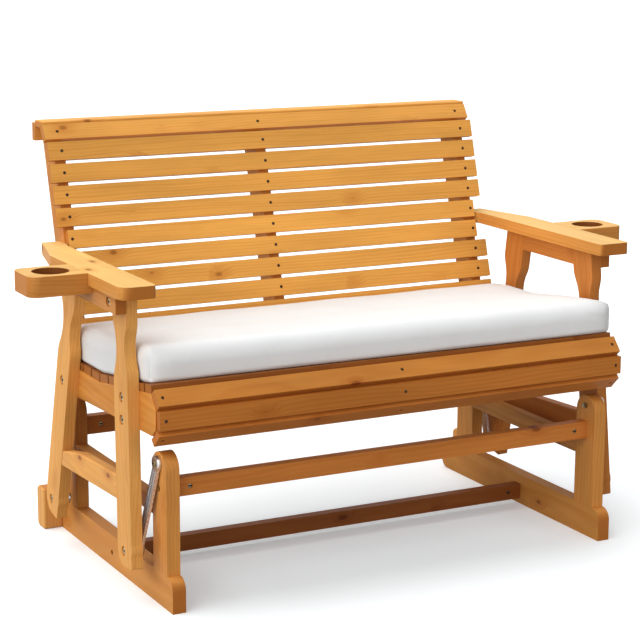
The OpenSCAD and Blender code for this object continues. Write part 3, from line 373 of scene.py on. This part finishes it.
def turned(name, node, material, body, round_off, mouth, depth, around=24):
    """Fasteners turned on the axes of a node's solids. On each axis an outline of (height, radius) goes
    round: recess floor, recess walls in the mouth's shape, rounded head, then the solid's own steps. A
    wide step past the head is a nut, a hexagon: radius cos 30 over the cosine from its nearest flat.
    The head is the wide end, of two wide ends the one farther from the bench's middle, and of a plain
    cylinder the front end."""
    turn = np.linspace(0, 2 * math.pi, around, endpoint=False)
    step, after = np.arange(around), np.roll(np.arange(around), -1)
    plain_round = np.ones(around)
    hexagon = math.cos(math.pi / 6) / np.cos(turn % (math.pi / 3) - math.pi / 6)
    points, faces, finish, first = [], [], [], 0
    for solid in solids_of(node):
        middle = solid.mean(axis=0)
        axis = np.linalg.svd(solid - middle)[2][0]
        along = (solid - middle) @ axis
        out = np.linalg.norm(solid - middle - np.outer(along, axis), axis=1)
        wide = along[out > 0.75 * out.max()]
        if len(wide) == len(along):
            turned_away = axis[1] > 0
        elif wide.max() > 0 > wide.min():
            turned_away = axis[0] * middle[0] < 0
        else:
            turned_away = wide.mean() < 0
        if turned_away:
            axis, along = -axis, -along
        outline = outline_of(along, out)
        (top, head), (neck, _) = outline[:2]
        shank = min(radius for _, radius in outline)
        side = np.cross(axis, (0, 0, 1.0) if abs(axis[2]) < 0.9 else (1.0, 0, 0))
        side /= np.linalg.norm(side)
        other = np.cross(axis, side)
        spokes = np.cos(turn)[:, None] * side + np.sin(turn)[:, None] * other

        # The recess reaches at most 0.82 of the head's radius, and its floor is a little narrower
        opening = np.minimum(mouth(turn), 0.82 * head)
        rounded = min(round_off, 0.5 * (top - neck))
        rings = [
            (top - depth, 0.55 * opening),
            (top - depth, 0.92 * opening),
            (top, opening),
            (top, (head - rounded) * plain_round),
            (top - 0.3 * rounded, (head - 0.3 * rounded) * plain_round),
            (top - rounded, head * plain_round),
            (neck, head * plain_round),
        ]
        rings += [(height, r * (hexagon if r > 1.3 * shank else plain_round)) for height, r in outline[2:]]
        grid = np.vstack([middle + height * axis + radii[:, None] * spokes for height, radii in rings])
        points.append(np.vstack([grid, [middle + (top - depth) * axis, middle + rings[-1][0] * axis]]))

        # Bands between the rings, then a fan on the recess floor and one on the far end. The recess, its
        # two bands and the first fan, gets the near-black socket material: painted shade
        hub, last = first + len(grid), first + (len(rings) - 1) * around
        ring = first + around * np.arange(len(rings) - 1)[:, None]
        bands = np.stack([ring + step, ring + around + step, ring + around + after, ring + after], axis=-1)
        faces += bands.reshape(-1, 4).tolist()
        faces += np.stack([np.full(around, hub), first + step, first + after], axis=-1).tolist()
        faces += np.stack([np.full(around, hub + 1), last + after, last + step], axis=-1).tolist()
        finish += [1] * (2 * around) + [0] * ((len(rings) - 3) * around) + [1] * around + [0] * around
        first += len(grid) + 2
    mesh = bpy.data.meshes.new(name)
    mesh.from_pydata(np.vstack(points).tolist(), [], faces)
    mesh.materials.append(material)
    mesh.materials.append(socket_shade)
    mesh.polygons.foreach_set("material_index", finish)
    mesh.shade_smooth()
    mesh.set_sharp_from_angle(angle=math.radians(32))
    piece = bpy.data.objects.new(name, mesh)
    bpy.context.scene.collection.objects.link(piece)
    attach(piece, body)
    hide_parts(node)


bolt_zinc = zinc("bolt_zinc", (0.40, 0.32, 0.19), 0.36)
dull_zinc = zinc("dull_zinc", (0.16, 0.12, 0.08), 0.42)
aged_zinc = zinc("aged_zinc", (0.23, 0.17, 0.095), 0.40)
# Near-black material on the fasteners' recesses: painted shade in the sockets.
socket_shade = zinc("socket_shade", (0.035, 0.025, 0.018), 0.60)
turned("hex_stretcher_bolts", "stretcher_bolts", dull_zinc, "base",
       round_off=0.0012, mouth=polygon_mouth(6, 0.0024), depth=0.0022)
turned("slotted_barrel_nuts", "barrel_nuts", aged_zinc, "base",
       round_off=0.0006, mouth=slot_mouth(0.0040, 0.0016), depth=0.0016, around=32)
turned("round_pivot_bolts", "upper_pivot_bolts", aged_zinc, "base",
       round_off=0.0018, mouth=polygon_mouth(6, 0.0024), depth=0.0016)

# Swing links: four cast bars with three ribs and a bearing hub at each end, zinc plated and bright.
# The upper hub of each turns on a bolt in an upright of the base, and the lower one carries the
# bolt of a leg.
link_zinc = zinc("link_zinc", (0.74, 0.74, 0.75), 0.30, grain=420.0)
for name in ("front_link_right", "front_link_left", "rear_link_right", "rear_link_left"):
    boards[name].data.materials.clear()
    boards[name].data.materials.append(link_zinc)
    ease(name, 0.0008, 2)

# Pine legs of the seat, sawn with a shallow hollow in both edges, and the rails between them: a lower
# one and one right under the arm. They hang on the links' lower bolts and splay a little outward.
for i, (side, leg_tone) in enumerate((("right", (0.52, 0.180, 0.035)), ("left", (0.78, 0.365, 0.090)))):
    finish_board("front_leg_" + side, "Z", "X", 30 + i, radius=0.0035, lean=12, tone=leg_tone)
    finish_board("rear_leg_" + side, "Z", "X", 32 + i, radius=0.0035, lean=-14, tone=leg_tone)
    finish_board("leg_rail_" + side, "Y", "X", 34 + i, radius=0.0035, tone=leg_tone)
    finish_board("arm_rail_" + side, "Y", "X", 36 + i, radius=0.0030, tone=leg_tone)
turned("hex_leg_bolts", "lower_pivot_bolts", bolt_zinc, "seat",
       round_off=0.0012, mouth=polygon_mouth(6, 0.0026), depth=0.0016)

# Three pine rails carry the seat: one along each pair of legs and one in the middle.
# Their tops are dished and their fronts are cut to the nose that the front boards cover.
for i, name in enumerate(("side_rail_right", "side_rail_left", "middle_rail")):
    finish_board(name, "Y", "X", 40 + i, radius=0.0022, tone=(0.66, 0.26, 0.048))

# Seat slats under the cushion, and three boards round the nose, all of pine and screwed to the rails.
# The slats are painted dark, as painted shade under the cushion, and their sawn ends less so.
nose_ends = (0.88, 0.82, 0.80)
finish_board("seat_slats", "X", "Z", 50, radius=0.0022, tone=(0.27, 0.085, 0.014), ends=(1.5, 1.6, 1.8))
for i, (name, tone) in enumerate((
    ("nose_board_upper", (0.54, 0.200, 0.035)),
    ("nose_board_middle", (0.48, 0.160, 0.025)),
    ("nose_board_lower", (0.58, 0.190, 0.033)),
)):
    finish_board(name, "X", "Y", 51 + i, radius=0.0025, tone=tone, ends=nose_ends)

# Back: three sloping posts with nine slats screwed to their fronts, all of pine.
# A front board, a cap and a rear board make the crest. The screws have crossed recesses.
back_slope, slat_tone, crest_tone = -16, (0.80, 0.365, 0.071), (0.80, 0.37, 0.078)
for i, name in enumerate(("support_right", "support_middle", "support_left")):
    finish_board(name, "Z", "X", 60 + i, radius=0.003, lean=back_slope, tone=(0.60, 0.235, 0.046))
for i in range(1, 10):
    finish_board(f"back_slat_{i}", "X", "Y", 70 + i, radius=0.0025, lean=back_slope, tone=slat_tone)
finish_board("crest_front_board", "X", "Y", 80, radius=0.003, tone=crest_tone)
finish_board("crest_cap", "X", "Z", 81, radius=0.003, tone=crest_tone)
finish_board("crest_rear_board", "X", "Y", 82, radius=0.003, tone=(0.76, 0.35, 0.080))
screw_zinc = zinc("screw_zinc", (0.07, 0.045, 0.03), 0.50)
turned("cross_screws", "slat_screws", screw_zinc, "seat",
       round_off=0.0007, mouth=cross_mouth(0.0018, 0.0005), depth=0.0010, around=16)

# Pine arms on the legs' tops, an apron under each, and a cup holder outside each arm, held by bolts.
# Their upper faces are painted lighter and yellower: painted light.
painted_top_light = (1.27, 1.80, 2.8)
# Axis and radius of each cup hole, whose wall gets painted shade
cup_holes = {"right": (0.640, -0.056, 0.034), "left": (-0.640, -0.067, 0.0365)}
for i, side in enumerate(("right", "left")):
    finish_board("arm_" + side, "Y", "Z", 90 + i, radius=0.0045, tone=(0.63, 0.265, 0.056), top=painted_top_light)
    finish_board("apron_" + side, "Y", "X", 92 + i, radius=0.003, tone=(0.62, 0.25, 0.052))
    finish_board("cup_holder_" + side, "X", "Z", 94 + i, radius=0.0040, tone=(0.58, 0.235, 0.048),
                 top=painted_top_light, ends=(0.88, 0.78, 0.70), hole=cup_holes[side])
turned("hex_frame_bolts", "frame_bolts", bolt_zinc, "seat",
       round_off=0.0012, mouth=polygon_mouth(6, 0.0030), depth=0.0024)


# Seat cushion: one long boxed cushion in an off-white cover of plain weave, filled firm enough to
# crown and to round its edges. It lies loose on the slats, a little askew, with its right front
# corner round the leg, and puckers where the cover was sewn at the corners.
def cloth(name, tone):
    """Plain weave: two crossed waves in Object coordinates, with slow wrinkles under them."""
    made, tree, out = shader(name)
    where = put(tree, "TexCoord").outputs["Object"]
    threads = {"Vector": where, "Scale": 230.0, "Distortion": 0.6, "Detail": 1.0}
    warp = put(tree, "TexWave", threads, wave_type="BANDS", bands_direction="X").outputs[1]
    weft = put(tree, "TexWave", threads, wave_type="BANDS", bands_direction="Y").outputs[1]
    weave = reckon(tree, "ADD", warp, weft)
    wrinkles = put(tree, "TexNoise", {"Vector": where, "Scale": 9.0, "Detail": 3.0, "Roughness": 0.55})
    soft = wrinkles.outputs[0]
    # A little darker where the wrinkle noise is low, in the wrinkles' hollows: painted shade
    shade = remap(tree, soft, 0.3, 0.7, 0.0, 1.0)
    tint = mix(tree, shade, times(tone, (0.965, 0.965, 0.965)), tuple(tone) + (1,))
    fine = put(tree, "Bump", {"Height": weave, "Strength": 0.12, "Distance": 0.0004}).outputs[0]
    creased = put(tree, "Bump", {"Height": soft, "Strength": 0.20, "Distance": 0.010, "Normal": fine})
    surface = put(tree, "BsdfPrincipled", {"Base Color": tint, "Roughness": 0.9, "Sheen Weight": 0.15,
                                           "Normal": creased.outputs[0]})
    tree.links.new(surface.outputs[0], out.inputs["Surface"])
    return made


def quarter_round(distance, radius):
    """Quarter circle over the distance from the rim: nothing on the rim, one from a radius inwards."""
    return np.sqrt(1 - (1 - np.minimum(1, distance / radius)) ** 2)


def crease(points, start, end, width, depth):
    """Soft groove from one point to another: minus depth times a bell curve over the distance from the
    line, fading out at both ends."""
    start, end = np.array(start), np.array(end)
    along = np.clip((points - start) @ (end - start) / np.sum((end - start) ** 2), 0, 1)
    away = np.linalg.norm(points - start - along[:, None] * (end - start), axis=1)
    return -depth * np.exp(-(away / width) ** 2) * np.sin(math.pi * np.clip(along, 0.02, 0.98)) ** 0.5


def boxed_cover(nx, ny, rows):
    """Closed cover on a grid of u along the bench and v across it, both from -1 to 1 and denser at
    the ends. In plan, x = u (half - cut) + ear and y = middle - skew + v (deep - draw - cut), where the
    cut rounds the corners and the ear draws both front ones out, the right one round the leg. Top =
    slats + edge + crown - drop, where drop is the cube root of the summed cubes of radius (1 - quarter
    round) for the ends and for the front and rear, the front's radius the widest. The underside is
    rounded likewise by one small radius, and upright rows join the two rims."""
    half, front, rear, edge, crown = 0.5276, -0.301, 0.137, 0.067, 0.009
    round_top, round_front, round_low, corner = 0.022, 0.036, 0.010, 0.019
    draw, skew, right_ear, left_ear, ear_start, ear_blend = 0.003, 0.012, 0.020, 0.008, 0.83, 0.09
    denser = [np.sin(np.pi / 2 * np.linspace(-1, 1, count)) for count in (nx, ny)]
    u, v = np.meshgrid(*denser)
    deep = (rear - front) / 2
    from_end, from_side = (1 - abs(u)) * half, (1 - abs(v)) * deep
    cut = corner * abs(u) ** (half / corner) * abs(v) ** (deep / corner)
    right_front = right_ear * np.clip((-v - ear_start) / ear_blend, 0, 1)
    left_front = -left_ear * np.maximum(0, -v) ** 20
    ear = np.where(u > 0, right_front, left_front) * abs(u) ** 8
    x = u * (half - cut) + ear
    y = (front + rear) / 2 - skew * u * (1 - v) / 2 + v * (deep - draw * (1 - u * u) - cut)

    # What it lies on: slats on rails that are level behind and rise towards the front
    rail_top, rise, rise_start, rise_end, slat, gap = 0.3955, 0.0355, 0.0415, 0.310, 0.016, 0.0006
    slope = rise / (rise_end - rise_start)
    slats = rail_top + np.maximum(0, -rise_start - y) * slope + slat * math.hypot(1, slope) + gap
    swell = (1 - abs(u) ** 60) * (1 - abs(v) ** 4)
    edge_round = np.where(v < 0, round_front, round_top)
    end_drop = round_top * (1 - quarter_round(from_end, round_top))
    edge_drop = edge_round * (1 - quarter_round(from_side, edge_round))
    drop = np.cbrt(end_drop**3 + edge_drop**3)
    low_full = quarter_round(from_end, round_low) * quarter_round(from_side, round_low)
    top = np.stack([x, y, slats + edge + crown * swell - drop], axis=-1).reshape(-1, 3)
    low = np.stack([x, y, slats + round_low * (1 - low_full)], axis=-1).reshape(-1, 3)

    # Faces: the top's grid, the underside's turned over, and rings of quads down the side
    place = np.arange(nx * ny).reshape(ny, nx)
    rim = np.concatenate([place[0, :-1], place[:-1, -1], place[-1, :0:-1], place[:0:-1, 0]])
    down = np.arange(1, rows + 1)[:, None, None] / (rows + 1)
    band = top[rim] * (1 - down) + low[rim] * down
    quads = np.stack([place[:-1, :-1], place[:-1, 1:], place[1:, 1:], place[1:, :-1]], axis=-1)
    quads = quads.reshape(-1, 4)
    rings = np.vstack([rim, 2 * nx * ny + np.arange(rows * len(rim)).reshape(rows, -1), rim + nx * ny])
    after = np.roll(rings, -1, axis=1)
    sides = np.stack([rings[:-1], rings[1:], after[1:], after[:-1]], axis=-1).reshape(-1, 4)
    points = np.vstack([top, low, band.reshape(-1, 3)])
    return points, np.vstack([quads, quads[:, ::-1] + nx * ny, sides])


points, quads = boxed_cover(360, 96, 9)
x, y, z = points.T
cover = bpy.data.meshes.new("seat_cushion")
cover.from_pydata(points.tolist(), [], quads.tolist())
cover.materials.append(cloth("cushion_cloth", (0.80, 0.81, 0.805)))
normals = np.empty(3 * len(points))
cover.vertex_normals.foreach_get("vector", normals)
normals = normals.reshape(-1, 3)

# Filling that has settled unevenly, by 1.3 mm at the most: a sum of seeded cosine waves, 70 to
# 260 mm long
waves = np.random.default_rng(7)
full_turn = 2 * math.pi
uneven = np.zeros(len(points))
lengths = waves.uniform(0.07, 0.26, 26)
turns = waves.uniform(0, math.pi, 26)
starts = waves.uniform(0, 7, 26)
for length, turn, start in zip(lengths, turns, starts):
    travel = x * math.cos(turn) + 1.6 * y * math.sin(turn) + 0.8 * z
    uneven += length * np.cos(full_turn * travel / length + start)
uneven *= 0.0013 / np.abs(uneven).max()

# Fine gathers along the front edge, 16 to 34 mm apart, in stretches: waves along the bench times a
# bell curve over the height times the square of a slow wave
gathers = np.zeros(len(points))
for length, start in zip(waves.uniform(0.016, 0.034, 6), waves.uniform(0, 7, 6)):
    gathers += np.cos(full_turn * (x + 0.35 * z) / length + start)
stretches = 0.5 + 0.5 * np.cos(full_turn * x / 0.31 + 1.1) * np.cos(full_turn * x / 0.19)
gather_height, gather_spread, gather_depth = 0.484, 0.014, 0.00022
belt = np.exp(-((z - gather_height) / gather_spread) ** 2) * (y < -0.25)
uneven += gather_depth * gathers * stretches**2 * belt

# Puckers where the cover was sewn at its front corners, and two faint long creases along the front
for start, end, width, depth in (
    ((-0.455, -0.288, 0.508), (-0.470, -0.300, 0.470), 0.0060, 0.0007),
    ((-0.440, -0.280, 0.512), (-0.450, -0.300, 0.480), 0.0050, 0.0005),
    ((0.455, -0.316, 0.492), (0.540, -0.305, 0.476), 0.0070, 0.0012),
    ((-0.420, -0.290, 0.496), (-0.180, -0.296, 0.488), 0.0140, 0.0006),
    ((0.200, -0.300, 0.494), (0.440, -0.308, 0.486), 0.0140, 0.0007),
):
    uneven += crease(points, start, end, width, depth)
uneven[normals[:, 2] < -0.3] = 0
cover.vertices.foreach_set("co", (points + uneven[:, None] * normals).ravel())
cover.shade_smooth()
cushion = bpy.data.objects.new("seat_cushion", cover)
bpy.context.scene.collection.objects.link(cushion)
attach(cushion, "seat")
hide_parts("cushion")
